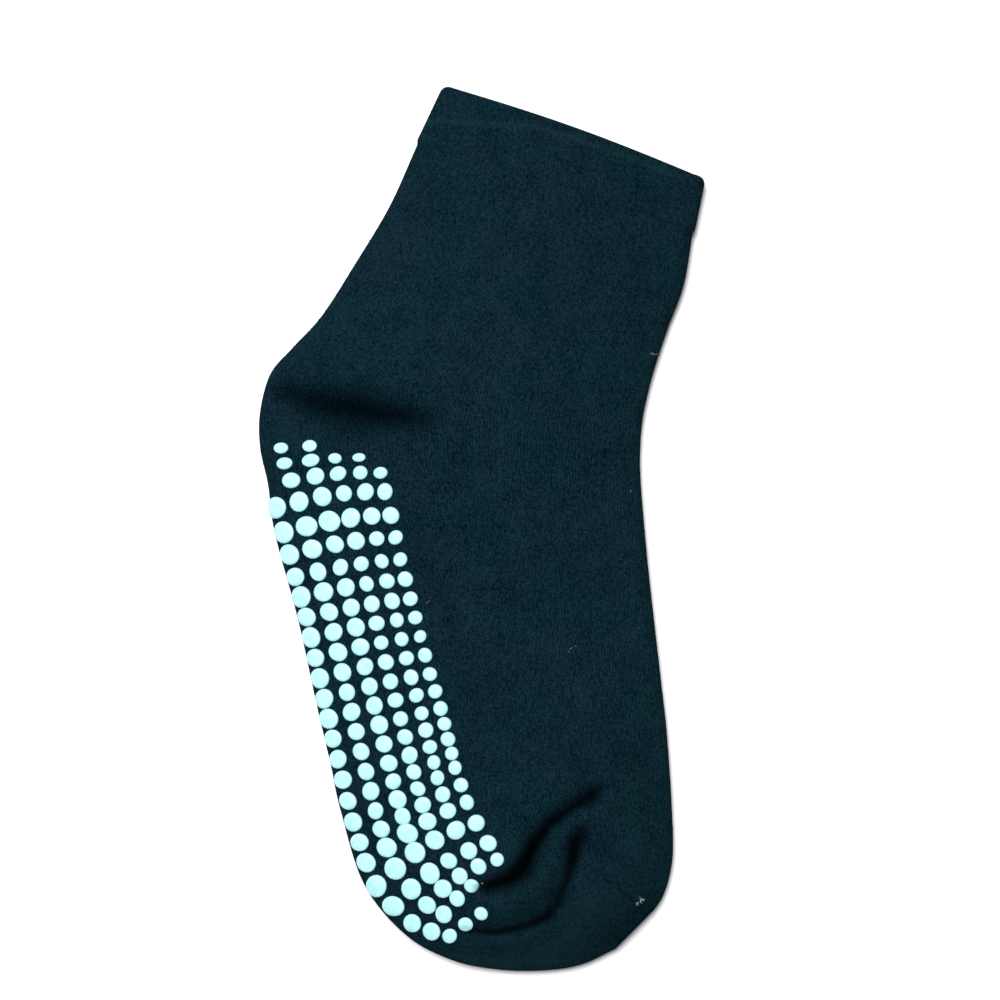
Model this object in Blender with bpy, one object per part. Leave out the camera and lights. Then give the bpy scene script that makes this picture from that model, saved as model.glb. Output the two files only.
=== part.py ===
"""Child's knitted slipper sock with a printed grip sole, lying on its side.

Two solids: the knitted upper, one hollow tube from collar to toe, and the grip sole,
a thin printed film with its studs that sits in a shallow bed in the upper.
+X runs along the foot to the toe, +Y to the instep, +Z up from the floor.
"""

import math

import bmesh
import bpy
import numpy as np

# Driving sizes in metres.
FOOT_LENGTH = 0.152
FOOT_WIDTH = 0.082
LEG_HEIGHT = 0.080
LEG_WIDTH = 0.066
LEG_LEAN_ANGLE = math.radians(28.0)
ANKLE_ALONG = 0.0071
ANKLE_ACROSS = 0.0455
FOLD_RADIUS = 0.0028
FOLD_LEAST = 0.0003
PUFF = 0.0106
KNIT_WALL = 0.0022
CUFF_STEP = 0.00045
FILM = 0.0007
CLEARANCE = 0.0003
STUD_HEIGHT = 0.0008
STUD_ROOT = 0.0004
STUD_WIDTH = 0.0047
STUD_SPACING = 0.0053

# Shape choices without a length.
STUD_TOP_SHARE = 0.78
STUD_SIDES = 6
LIFT_BLEND_SHARE = 0.22
LIFT_RISE_ROWS = 1.2
LIFT_FALL_ROWS = 1.8
CUFF_FALL_ROWS = 1.6
CUFF_LEVEL_ROWS = 0.4
BED_START = 7.3
BED_END = 17.0
CUFF_END = 1.0
LINING_END = 19
TOE_END = 21
FOLD_MOST_SHARE = 0.4
NEAR_ROWS = 0.05
PRINT_SEARCH = (6.0, 19.0)
PRINT_HALVINGS = 26

# Leg sections from the collar down, in shares of the leg's height and width from the ankle
# point. up and across are along and over the leaning leg. puff is a share of PUFF.
LEG_ROWS = (
    # back_up, back_across, front_up, front_across, puff
    (0.965, -0.403, 0.942, 0.596, 0.66),
    (0.777, -0.432, 0.781, 0.618, 0.66),
    (0.574, -0.459, 0.621, 0.646, 0.70),
    (0.380, -0.513, 0.481, 0.640, 0.78),
    (0.197, -0.571, 0.348, 0.639, 0.88),
    (0.075, -0.638, 0.249, 0.647, 0.96),
)

# Foot sections from the heel to the toe, in shares of the foot's length and width from the
# back of the heel. print is how far the grip film reaches over each side of the sole's fold.
FOOT_ROWS = (
    # sole_along, sole_across, instep_along, instep_across, puff, print
    (-0.084, 0.060, 0.097, 1.106, 1.00, 0.36),
    (-0.028, 0.012, 0.131, 1.090, 1.04, 0.36),
    (0.028, -0.006, 0.159, 1.080, 1.04, 0.35),
    (0.086, -0.002, 0.198, 1.071, 1.00, 0.35),
    (0.166, -0.007, 0.233, 1.065, 0.94, 0.355),
    (0.306, 0.016, 0.318, 1.052, 0.90, 0.36),
    (0.440, 0.026, 0.420, 1.040, 0.90, 0.37),
    (0.536, 0.036, 0.502, 1.031, 0.92, 0.39),
    (0.616, 0.042, 0.572, 1.023, 0.96, 0.42),
    (0.735, 0.072, 0.649, 1.009, 1.00, 0.47),
    (0.824, 0.165, 0.712, 0.995, 0.96, 0.45),
    (0.875, 0.282, 0.754, 0.984, 0.84, 0.26),
    (0.903, 0.406, 0.785, 0.971, 0.68, 0.12),
    (0.918, 0.535, 0.815, 0.949, 0.48, 0.08),
    (0.920, 0.653, 0.838, 0.924, 0.30, 0.08),
    (0.905, 0.762, 0.853, 0.898, 0.14, 0.08),
)

# Stud rows from the heel to the toe: the first stud's place in shares of the foot's length
# and width, the row's slant in degrees, its spacing and stud size in shares, how far its
# middle bends back in shares of the spacing, and which columns are printed. Rows between
# these are interpolated.
STUD_ROWS = (
    # row, along, across, slant, spacing, size, bow, first_column, last_column
    (0, 0.031, -0.028, -8.0, 1.24, 0.82, 0.10, 1, 2),
    (1, 0.058, -0.019, -6.0, 1.14, 0.95, 0.12, 1, 4),
    (2, 0.089, -0.003, -4.0, 1.06, 1.06, 0.18, 1, 5),
    (3, 0.126, 0.012, -1.8, 1.02, 1.15, 0.20, 0, 5),
    (4, 0.166, 0.023, -1.1, 1.00, 1.18, 0.18, 0, 5),
    (6, 0.238, 0.034, -0.3, 0.98, 0.98, 0.10, 0, 5),
    (8, 0.303, 0.046, 0.5, 0.97, 1.00, 0.08, 0, 5),
    (12, 0.434, 0.055, 4.2, 1.00, 1.00, 0.09, 0, 5),
    (14, 0.498, 0.060, 6.9, 1.03, 1.00, 0.05, 0, 5),
    (16, 0.564, 0.068, 12.5, 1.04, 0.98, -0.04, 0, 5),
    (18, 0.632, 0.076, 19.5, 1.07, 0.98, -0.03, 0, 5),
    (20, 0.698, 0.093, 22.6, 1.09, 1.06, 0.20, 0, 5),
    (21, 0.737, 0.110, 24.1, 1.10, 1.22, 0.38, 0, 5),
    (22, 0.772, 0.149, 25.6, 1.06, 1.12, 0.36, 0, 5),
    (23, 0.803, 0.195, 29.0, 0.99, 1.00, 0.46, 0, 5),
    (24, 0.820, 0.246, 33.0, 0.90, 0.88, 0.40, 0, 3),
    (25, 0.831, 0.296, 29.0, 0.84, 0.78, 0.00, 0, 2),
)
STUD_COLUMN_STEPS = (0.0, 1.10, 2.17, 3.15, 4.10, 4.95)
STUD_COLUMN_SHARES = (1.0, 0.95, 0.92, 0.82, 0.77, 0.74)

# How many facets each stretch of a section has, going round from the sole's fold.
FOLD_STEPS = 4
PRINT_TOP_STEPS = 3
INSTEP_TOP_STEPS = 6
INSTEP_BASE_STEPS = 4
PRINT_BASE_STEPS = 2

# Where the skin's sections stand, counted in table rows, below the rounded rim.
SKIN_STATIONS = (
    0.12, 0.55, CUFF_END, 1.6, 2.2, 3.0, 3.8, 4.6, 5.3, 6.0, 6.7, BED_START, 7.8,
    8.3, 8.8, 9.5, 10.3, 11.1, 12.0, 12.8, 13.5, 14.2, 14.7, 15.1, 15.5, 15.9,
    16.4, BED_END, 17.6, 18.2, 18.8, 19.4, 20.0, 20.5,
)

# How deep the last section stays, step by step, as the toe rounds over to its end.
TOE_CLOSING = (1.0, 0.87, 0.5, 0.15)
SKIN_SECTIONS = [(s, 1.0) for s in SKIN_STATIONS] + [(TOE_END, depth) for depth in TOE_CLOSING]

KNIT_COLOUR = (0.0040, 0.0180, 0.0260, 1.0)
PRINT_COLOUR = (0.560, 0.830, 0.840, 1.0)


def along_leg(up, across):
    """Plan point of a share of the leg's height and width from the ankle."""
    rise, side = up * LEG_HEIGHT, across * LEG_WIDTH
    along = ANKLE_ALONG - rise * math.cos(LEG_LEAN_ANGLE) + side * math.sin(LEG_LEAN_ANGLE)
    over = ANKLE_ACROSS + rise * math.sin(LEG_LEAN_ANGLE) + side * math.cos(LEG_LEAN_ANGLE)
    return along, over


def table_rows():
    """All sections as arrays: sole or back edge, front edge, puff and print share."""
    rows = []
    for back_up, back_across, front_up, front_across, puff in LEG_ROWS:
        back = along_leg(back_up, back_across)
        front = along_leg(front_up, front_across)
        rows.append((*back, *front, puff, FOOT_ROWS[0][5]))
    for sole_along, sole_across, instep_along, instep_across, puff, reach in FOOT_ROWS:
        sole = (sole_along * FOOT_LENGTH, sole_across * FOOT_WIDTH)
        instep = (instep_along * FOOT_LENGTH, instep_across * FOOT_WIDTH)
        rows.append((*sole, *instep, puff, reach))
    return np.array(rows)


ROWS = table_rows()


def smooth_row(station):
    """A section between table rows, on a curve through its four neighbours."""
    last = len(ROWS) - 1
    low = int(min(max(math.floor(station), 0), last - 1))
    t = station - low
    p1, p2 = ROWS[low], ROWS[low + 1]
    p0 = ROWS[low - 1] if low > 0 else 2 * p1 - p2
    p3 = ROWS[low + 2] if low + 2 <= last else 2 * p2 - p1
    bend = (2 * p0 - 5 * p1 + 4 * p2 - p3) * t * t + (3 * p1 - 3 * p2 + p3 - p0) * t ** 3
    return p1 + 0.5 * ((p2 - p0) * t + bend)


def edge_normal(station, first, toward):
    """Unit plan normal of an outline edge, pointing into the sock."""
    ahead, behind = smooth_row(station + NEAR_ROWS), smooth_row(station - NEAR_ROWS)
    run = ahead[first:first + 2] - behind[first:first + 2]
    normal = np.array([-run[1], run[0]]) / np.linalg.norm(run)
    return normal if normal @ toward > 0 else -normal


def frame(station):
    """What a section is drawn from: fold centres, their normals, fold radius, puff, print."""
    row = smooth_row(station)
    sole, instep = row[0:2], row[2:4]
    width = np.linalg.norm(instep - sole)
    fold = min(FOLD_RADIUS, FOLD_MOST_SHARE * width)
    sole_in = edge_normal(station, 0, instep - sole)
    instep_in = edge_normal(station, 2, sole - instep)
    return {
        "sole": sole + fold * sole_in,
        "instep": instep + fold * instep_in,
        "sole_in": sole_in,
        "instep_in": instep_in,
        "fold": fold,
        "puff": max(row[4], 0.0) * PUFF,
        "print": row[5],
        "station": station,
        "width": width,
    }


def ease(value):
    value = min(max(value, 0.0), 1.0)
    return value * value * (3 - 2 * value)


def floor_lift(at, share):
    """How far the underside stands off the floor: the studs' height beneath the print and
    the cuff's step at the leg's end of the tube."""
    station = at["station"]
    printed = ease((station - BED_START) / LIFT_RISE_ROWS + 1)
    printed *= ease((BED_END - station) / LIFT_FALL_ROWS + 1)
    beside = 1 - ease((share - at["print"]) / LIFT_BLEND_SHARE)
    cuffed = 1 - ease((station - CUFF_END - CUFF_LEVEL_ROWS) / CUFF_FALL_ROWS)
    return STUD_HEIGHT * printed * beside + CUFF_STEP * cuffed


def between(at, share):
    return at["sole"] + (at["instep"] - at["sole"]) * share


def swell(at, from_edge):
    """How far the top stands above the folds at a distance from a section's edge."""
    return at["puff"] * math.sin(math.pi * from_edge / at["width"])


def top_height(at, share):
    from_edge = at["fold"] + share * (at["width"] - 2 * at["fold"])
    return floor_lift(at, share) + 2 * at["fold"] + swell(at, from_edge)


def fold_point(at, side, radius, angle, depth):
    """A point on the round of a fold, angle up from its outermost line."""
    inward = at[side + "_in"]
    out = at[side] - inward * radius * math.sqrt(1 - (depth * math.sin(angle)) ** 2)
    level = radius * math.sin(angle)
    if angle > 0:
        level += swell(at, at["fold"] * (1 - math.cos(angle)))
    middle = floor_lift(at, 0.0 if side == "sole" else 1.0) + at["fold"]
    return (out[0], out[1], middle + depth * level)


def flat_point(at, share, level, radius, depth):
    """A point of a section's top or underside, moved out where the toe rounds over."""
    inward = at["sole_in"] * (1 - share) + at["instep_in"] * share
    place = between(at, share) - inward * radius * math.sqrt(1 - depth ** 2)
    middle = floor_lift(at, share) + at["fold"]
    return (place[0], place[1], middle + depth * (level - middle))


def section(station, inset, print_gap=0.0, depth=1.0):
    """A closed ring of points inset from the skin, from the sole's side of the underside
    over the sole's fold, the top and the instep's fold, and back below. depth is under 1
    only on the sections that close the toe."""
    at = frame(station)
    reach = at["print"] - print_gap / at["width"]
    radius = max(at["fold"] - inset, FOLD_LEAST)
    climb = [math.pi * (step / FOLD_STEPS - 0.5) for step in range(FOLD_STEPS + 1)]
    ring = [fold_point(at, "sole", radius, angle, depth) for angle in climb]
    top = [reach * (k + 1) / PRINT_TOP_STEPS for k in range(PRINT_TOP_STEPS)]
    top += [reach + (1 - reach) * (k + 1) / INSTEP_TOP_STEPS for k in range(INSTEP_TOP_STEPS - 1)]
    for share in top:
        ring.append(flat_point(at, share, top_height(at, share) - inset, radius, depth))
    ring += [fold_point(at, "instep", radius, angle, depth) for angle in reversed(climb)]
    base = [1 - (1 - reach) * (k + 1) / INSTEP_BASE_STEPS for k in range(INSTEP_BASE_STEPS)]
    base += [reach * (1 - (k + 1) / PRINT_BASE_STEPS) for k in range(PRINT_BASE_STEPS - 1)]
    for share in base:
        ring.append(flat_point(at, share, floor_lift(at, share) + inset, radius, depth))
    return ring


RING = 2 * FOLD_STEPS + PRINT_TOP_STEPS + INSTEP_TOP_STEPS + INSTEP_BASE_STEPS + PRINT_BASE_STEPS
PRINT_FIRST = RING - PRINT_BASE_STEPS
PRINT_CELLS = PRINT_BASE_STEPS + FOLD_STEPS + PRINT_TOP_STEPS


def in_print(column):
    """True for the facets of a section that lie beneath the grip film."""
    return (column - PRINT_FIRST) % RING < PRINT_CELLS


class Shell:
    """Collects points by name and faces by those names."""

    def __init__(self):
        self.names = {}
        self.points = []
        self.faces = []

    def point(self, name, place):
        if name not in self.names:
            self.names[name] = len(self.points)
            self.points.append(place)
        return self.names[name]

    def face(self, *corners):
        """Adds a face. Four corners become two triangles split from the first corner, so
        that surfaces which follow each other have the same facets."""
        if len(corners) == 4:
            self.faces.append(corners[:3])
            self.faces.append((corners[0], *corners[2:]))
        else:
            self.faces.append(corners)


def build_object(name, shell, material):
    mesh = bpy.data.meshes.new(name)
    mesh.from_pydata([tuple(map(float, p)) for p in shell.points], [], shell.faces)
    outward = bmesh.new()
    outward.from_mesh(mesh)
    bmesh.ops.recalc_face_normals(outward, faces=outward.faces)
    outward.to_mesh(mesh)
    outward.free()
    mesh.materials.append(material)
    made = bpy.data.objects.new(name, mesh)
    bpy.context.scene.collection.objects.link(made)
    return made


def make_material(name, colour, roughness):
    material = bpy.data.materials.new(name)
    material.use_nodes = True
    shader = material.node_tree.nodes["Principled BSDF"]
    shader.inputs["Base Color"].default_value = colour
    shader.inputs["Roughness"].default_value = roughness
    shader.inputs["Metallic"].default_value = 0.0
    return material


def skin_inset(row, column):
    """Which level a facet of the upper's skin lies on."""
    low, high = SKIN_SECTIONS[row][0], SKIN_SECTIONS[row + 1][0]
    if high <= CUFF_END:
        return -CUFF_STEP
    if low >= BED_START and high <= BED_END and in_print(column):
        return FILM + CLEARANCE
    return 0.0


def build_upper(material):
    """The knitted upper: skin with the cuff's step and the film's bed, lining surface
    one wall inside it, rounded collar rim and closed toe."""
    shell = Shell()
    rings = {}

    def skin(row, column, inset):
        key = (row, inset)
        if key not in rings:
            station, depth = SKIN_SECTIONS[row]
            rings[key] = section(station, inset, depth=depth)
        column %= RING
        return shell.point(("skin", row, column, inset), rings[key][column])

    rows = len(SKIN_SECTIONS)
    for row in range(rows - 1):
        for column in range(RING):
            inset = skin_inset(row, column)
            a, b = skin(row, column, inset), skin(row, column + 1, inset)
            c, d = skin(row + 1, column + 1, inset), skin(row + 1, column, inset)
            shell.face(a, b, c, d)
            beside = skin_inset(row, (column + 1) % RING)
            if beside != inset:
                shell.face(skin(row, column + 1, beside), skin(row + 1, column + 1, beside), c, b)
            if row + 2 < rows:
                after = skin_inset(row + 1, column)
                if after != inset:
                    shell.face(d, c, skin(row + 1, column + 1, after), skin(row + 1, column, after))

    tip_point = shell.point("tip", np.mean(rings[rows - 1, 0.0], axis=0))
    for column in range(RING):
        shell.face(skin(rows - 1, column, 0.0), skin(rows - 1, column + 1, 0.0), tip_point)

    seats = [SKIN_STATIONS[0], *range(1, LINING_END + 1)]
    lining = [section(s, KNIT_WALL) for s in seats]
    for row, ring in enumerate(lining):
        for column, place in enumerate(ring):
            shell.point(("lining", row, column), place)
    for row in range(len(seats) - 1):
        for column in range(RING):
            after = (column + 1) % RING
            shell.face(
                shell.names["lining", row, column], shell.names["lining", row, after],
                shell.names["lining", row + 1, after], shell.names["lining", row + 1, column],
            )
    last = len(seats) - 1
    centre = np.mean(lining[last], axis=0)
    seat_point = shell.point("seat", centre)
    for column in range(RING):
        after = (column + 1) % RING
        shell.face(
            shell.names["lining", last, after], shell.names["lining", last, column], seat_point
        )

    rim_level = 0.5 * (KNIT_WALL - CUFF_STEP)
    rim = section(0.0, rim_level)
    for column in range(RING):
        shell.point(("rim", column), rim[column])
    for column in range(RING):
        after = (column + 1) % RING
        near, far = shell.names["rim", column], shell.names["rim", after]
        shell.face(near, far, skin(0, column + 1, -CUFF_STEP), skin(0, column, -CUFF_STEP))
        shell.face(
            far, near, shell.names["lining", 0, column], shell.names["lining", 0, after]
        )
    return build_object("knit_upper", shell, material)


def print_columns():
    return [(PRINT_FIRST + k) % RING for k in range(PRINT_CELLS + 1)]


def build_film(material):
    """The printed film: the skin's own surface over the bed, a film's thickness deep,
    with a clearance to the bed all round."""
    shell = Shell()
    inside = [s for s in SKIN_STATIONS if BED_START < s < BED_END]
    stations = [BED_START + gap_in_rows(BED_START), *inside, BED_END - gap_in_rows(BED_END)]
    columns = print_columns()
    for level in (0.0, FILM):
        for row, station in enumerate(stations):
            ring = section(station, level, CLEARANCE)
            for place, column in enumerate(columns):
                shell.point((level, row, place), ring[column])
    name = shell.names
    last_row, last_place = len(stations) - 1, len(columns) - 1
    for row in range(last_row):
        for place in range(last_place):
            for level in (0.0, FILM):
                shell.face(
                    name[level, row, place], name[level, row, place + 1],
                    name[level, row + 1, place + 1], name[level, row + 1, place],
                )
        shell.face(
            name[0.0, row, 0], name[0.0, row + 1, 0], name[FILM, row + 1, 0], name[FILM, row, 0]
        )
        shell.face(
            name[0.0, row + 1, last_place], name[0.0, row, last_place],
            name[FILM, row, last_place], name[FILM, row + 1, last_place],
        )
    for place in range(last_place):
        shell.face(
            name[0.0, 0, place + 1], name[0.0, 0, place],
            name[FILM, 0, place], name[FILM, 0, place + 1],
        )
        shell.face(
            name[0.0, last_row, place], name[0.0, last_row, place + 1],
            name[FILM, last_row, place + 1], name[FILM, last_row, place],
        )
    return build_object("grip_sole", shell, material)


def gap_in_rows(station):
    """The clearance counted in table rows at a station."""
    run = smooth_row(station + NEAR_ROWS)[0:2] - smooth_row(station - NEAR_ROWS)[0:2]
    return CLEARANCE * 2 * NEAR_ROWS / np.linalg.norm(run)


def station_of(place):
    """The section whose line from fold to fold passes through a plan point."""
    low, high = PRINT_SEARCH
    for _ in range(PRINT_HALVINGS):
        middle = 0.5 * (low + high)
        at = frame(middle)
        span, reach = at["instep"] - at["sole"], place - at["sole"]
        if span[0] * reach[1] - span[1] * reach[0] < 0:
            low = middle
        else:
            high = middle
    return 0.5 * (low + high)


def on_skin(place, side, height):
    """A point a given height off the skin. side is 1 on top and -1 beneath."""
    at = frame(station_of(place))
    depth = (place - at["sole"]) @ at["sole_in"] + at["fold"]
    if depth < at["fold"]:
        angle = depth / at["fold"] + 0.5 * math.pi - 1
        centre = place - (depth - at["fold"]) * at["sole_in"]
        out = centre - at["sole_in"] * (at["fold"] + height) * math.cos(angle)
        level = floor_lift(at, 0.0) + at["fold"]
        level += side * (at["fold"] + height) * math.sin(angle)
        if side > 0 and angle > 0:
            level += swell(at, at["fold"] * (1 - math.cos(angle)))
        return (out[0], out[1], level)
    span = at["instep"] - at["sole"]
    share = (place - at["sole"]) @ span / (span @ span)
    level = top_height(at, share) if side > 0 else floor_lift(at, share)
    return (place[0], place[1], level + side * height)


def stud_places():
    """Centres and radii of the studs on one side of the sole's fold, row by row."""
    table = np.array(STUD_ROWS)
    places = []
    for row in range(int(table[-1, 0]) + 1):
        along, across, slant, spacing, size, bow, first, last = (
            np.interp(row, table[:, 0], table[:, k]) for k in range(1, 9)
        )
        start = np.array([along * FOOT_LENGTH, across * FOOT_WIDTH])
        turn = math.radians(slant)
        step = np.array([-math.sin(turn), math.cos(turn)]) * spacing * STUD_SPACING
        back = np.array([-math.cos(turn), -math.sin(turn)]) * bow * STUD_SPACING
        for column in range(round(first), round(last) + 1):
            bent = back * math.sin(math.pi * column / (len(STUD_COLUMN_STEPS) - 1))
            centre = start + step * STUD_COLUMN_STEPS[column] + bent
            radius = 0.5 * STUD_WIDTH * size * STUD_COLUMN_SHARES[column]
            places.append((centre, radius, turn))
    return places


def build_studs(material):
    """All studs on both sides of the fold as one mesh of separate low frustums."""
    shell = Shell()
    for side in (1, -1):
        for number, (centre, radius, turn) in enumerate(stud_places()):
            foot, crown = [], []
            for k in range(STUD_SIDES):
                angle = turn + 2 * math.pi * k / STUD_SIDES
                out = np.array([math.cos(angle), math.sin(angle)])
                low = on_skin(centre + out * radius, side, -STUD_ROOT)
                top = on_skin(centre + out * radius * STUD_TOP_SHARE, side, STUD_HEIGHT)
                foot.append(shell.point((side, number, k, 0), low))
                crown.append(shell.point((side, number, k, 1), top))
            if side < 0:
                foot.reverse()
                crown.reverse()
            shell.face(*crown)
            shell.face(*reversed(foot))
            for k in range(STUD_SIDES):
                after = (k + 1) % STUD_SIDES
                shell.face(foot[k], foot[after], crown[after], crown[k])
    return build_object("studs", shell, material)


def join_solids(target, tool):
    """Fuses tool into target and removes tool."""
    union = target.modifiers.new("fuse", "BOOLEAN")
    union.operation = "UNION"
    union.solver = "MANIFOLD"
    union.object = tool
    graph = bpy.context.evaluated_depsgraph_get()
    fused = bpy.data.meshes.new_from_object(target.evaluated_get(graph))
    target.modifiers.clear()
    target.data = fused
    bpy.data.objects.remove(tool)


def build():
    for old in list(bpy.data.objects):
        bpy.data.objects.remove(old)
    knit = make_material("knit", KNIT_COLOUR, 0.95)
    grip = make_material("grip_print", PRINT_COLOUR, 0.45)
    upper = build_upper(knit)
    sole = build_film(grip)
    studs = build_studs(grip)
    join_solids(sole, studs)
    corners = np.array([v.co for v in upper.data.vertices])
    middle = 0.5 * (corners.min(axis=0) + corners.max(axis=0))
    for piece in (upper, sole):
        piece.location = (-middle[0], -middle[1], 0.0)


build()
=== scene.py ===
import math

import bpy
import numpy as np
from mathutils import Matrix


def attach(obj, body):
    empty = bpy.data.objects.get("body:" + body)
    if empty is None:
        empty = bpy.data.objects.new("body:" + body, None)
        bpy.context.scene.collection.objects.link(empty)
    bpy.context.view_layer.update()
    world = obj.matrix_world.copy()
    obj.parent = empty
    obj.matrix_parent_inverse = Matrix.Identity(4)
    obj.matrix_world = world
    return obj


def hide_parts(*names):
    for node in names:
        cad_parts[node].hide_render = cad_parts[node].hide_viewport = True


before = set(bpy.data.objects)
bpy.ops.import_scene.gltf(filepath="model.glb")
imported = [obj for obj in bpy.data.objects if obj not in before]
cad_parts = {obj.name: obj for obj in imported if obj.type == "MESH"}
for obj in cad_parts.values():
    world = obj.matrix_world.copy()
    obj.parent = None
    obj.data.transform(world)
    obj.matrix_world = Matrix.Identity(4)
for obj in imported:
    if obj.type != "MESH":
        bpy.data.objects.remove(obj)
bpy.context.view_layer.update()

# The sock's own sizes in metres, as in the part.
FOOT_LENGTH = 0.152
FOOT_WIDTH = 0.082
LEG_HEIGHT = 0.080
LEG_WIDTH = 0.066
LEG_LEAN_ANGLE = math.radians(28.0)
ANKLE_ALONG = 0.0071
ANKLE_ACROSS = 0.0455
FOLD_RADIUS = 0.0028
PUFF = 0.0106
KNIT_WALL = 0.0022
CUFF_STEP = 0.00045
STUD_HEIGHT = 0.0008
STUD_WIDTH = 0.0047
STUD_SPACING = 0.0053

# Shares of a section's width: the most that a fold takes, and how far the lift over the
# studs beneath blends out.
FOLD_MOST_SHARE = 0.4
LIFT_BLEND_SHARE = 0.22

# Places and lengths along the sock, counted in sections from the collar.
CUFF_END = 1.0
WELT_ROWS = 0.06
CUFF_LEVEL_ROWS = 0.4
CUFF_FALL_ROWS = 1.6
BED_START = 7.3
BED_END = 17.0
LIFT_RISE_ROWS = 1.2
LIFT_FALL_ROWS = 1.8
SKIN_START = 0.10
LINING_END = 19.0
TOE_END = 21
NORMAL_STEP = 0.05

# The frame's origin, from the heel's back and the sole's edge.
ORIGIN = np.array([0.03340, 0.05765])

# The leg's two folds from the collar down, up and across in shares of its height and width.
LEG_ROWS = (
    # back_up, back_across, front_up, front_across, puff
    (0.965, -0.403, 0.942, 0.596, 0.66),
    (0.777, -0.432, 0.781, 0.618, 0.66),
    (0.574, -0.459, 0.621, 0.646, 0.70),
    (0.380, -0.513, 0.481, 0.640, 0.78),
    (0.197, -0.571, 0.348, 0.639, 0.88),
    (0.075, -0.638, 0.249, 0.647, 0.96),
)

# The foot's two folds from the ankle to the toe, in shares of its length and width. puff is a
# share of PUFF, and print is how far over the section the studs' lift reaches.
FOOT_ROWS = (
    # sole_along, sole_across, instep_along, instep_across, puff, print
    (-0.084, 0.060, 0.097, 1.106, 1.00, 0.36),
    (-0.028, 0.012, 0.131, 1.090, 1.04, 0.36),
    (0.028, -0.006, 0.159, 1.080, 1.04, 0.35),
    (0.086, -0.002, 0.198, 1.071, 1.00, 0.35),
    (0.166, -0.007, 0.233, 1.065, 0.94, 0.355),
    (0.306, 0.016, 0.318, 1.052, 0.90, 0.36),
    (0.440, 0.026, 0.420, 1.040, 0.90, 0.37),
    (0.536, 0.036, 0.502, 1.031, 0.92, 0.39),
    (0.616, 0.042, 0.572, 1.023, 0.96, 0.42),
    (0.735, 0.072, 0.649, 1.009, 1.00, 0.47),
    (0.824, 0.165, 0.712, 0.995, 0.96, 0.45),
    (0.875, 0.282, 0.754, 0.984, 0.84, 0.26),
    (0.903, 0.406, 0.785, 0.971, 0.68, 0.12),
    (0.918, 0.535, 0.815, 0.949, 0.48, 0.08),
    (0.920, 0.653, 0.838, 0.924, 0.30, 0.08),
    (0.905, 0.762, 0.853, 0.898, 0.14, 0.08),
)

# Rows of studs, those between worked out from their neighbours: where the row starts in
# shares of the foot, its slant in degrees, its spacing, size and bow in shares, its columns.
STUD_ROWS = (
    # row, along, across, slant, spacing, size, bow, first_column, last_column
    (0, 0.031, -0.028, -8.0, 1.24, 0.82, 0.10, 1, 2),
    (1, 0.058, -0.019, -6.0, 1.14, 0.95, 0.12, 1, 4),
    (2, 0.089, -0.003, -4.0, 1.06, 1.06, 0.18, 1, 5),
    (3, 0.126, 0.012, -1.8, 1.02, 1.15, 0.20, 0, 5),
    (4, 0.166, 0.023, -1.1, 1.00, 1.18, 0.18, 0, 5),
    (6, 0.238, 0.034, -0.3, 0.98, 0.98, 0.10, 0, 5),
    (8, 0.303, 0.046, 0.5, 0.97, 1.00, 0.08, 0, 5),
    (12, 0.434, 0.055, 4.2, 1.00, 1.00, 0.09, 0, 5),
    (14, 0.498, 0.060, 6.9, 1.03, 1.00, 0.05, 0, 5),
    (16, 0.564, 0.068, 12.5, 1.04, 0.98, -0.04, 0, 5),
    (18, 0.632, 0.076, 19.5, 1.07, 0.98, -0.03, 0, 5),
    (20, 0.698, 0.093, 22.6, 1.09, 1.06, 0.20, 0, 5),
    (21, 0.737, 0.110, 24.1, 1.10, 1.22, 0.38, 0, 5),
    (22, 0.772, 0.149, 25.6, 1.06, 1.12, 0.36, 0, 5),
    (23, 0.803, 0.195, 29.0, 0.99, 1.00, 0.46, 0, 5),
    (24, 0.820, 0.246, 33.0, 0.90, 0.88, 0.40, 0, 3),
    (25, 0.831, 0.296, 29.0, 0.84, 0.78, 0.00, 0, 2),
)

# Across a row, how far each column lies from the first in spacings, and its share of the size.
STUD_COLUMN_STEPS = (0.0, 1.10, 2.17, 3.15, 4.10, 4.95)
STUD_COLUMN_SHARES = (1.0, 0.95, 0.92, 0.82, 0.77, 0.74)

# The first rows of studs look pressed flat along the foot: the share of their length left.
STUD_SQUASH = {0: 0.80, 1: 0.70, 2: 0.84}

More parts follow.
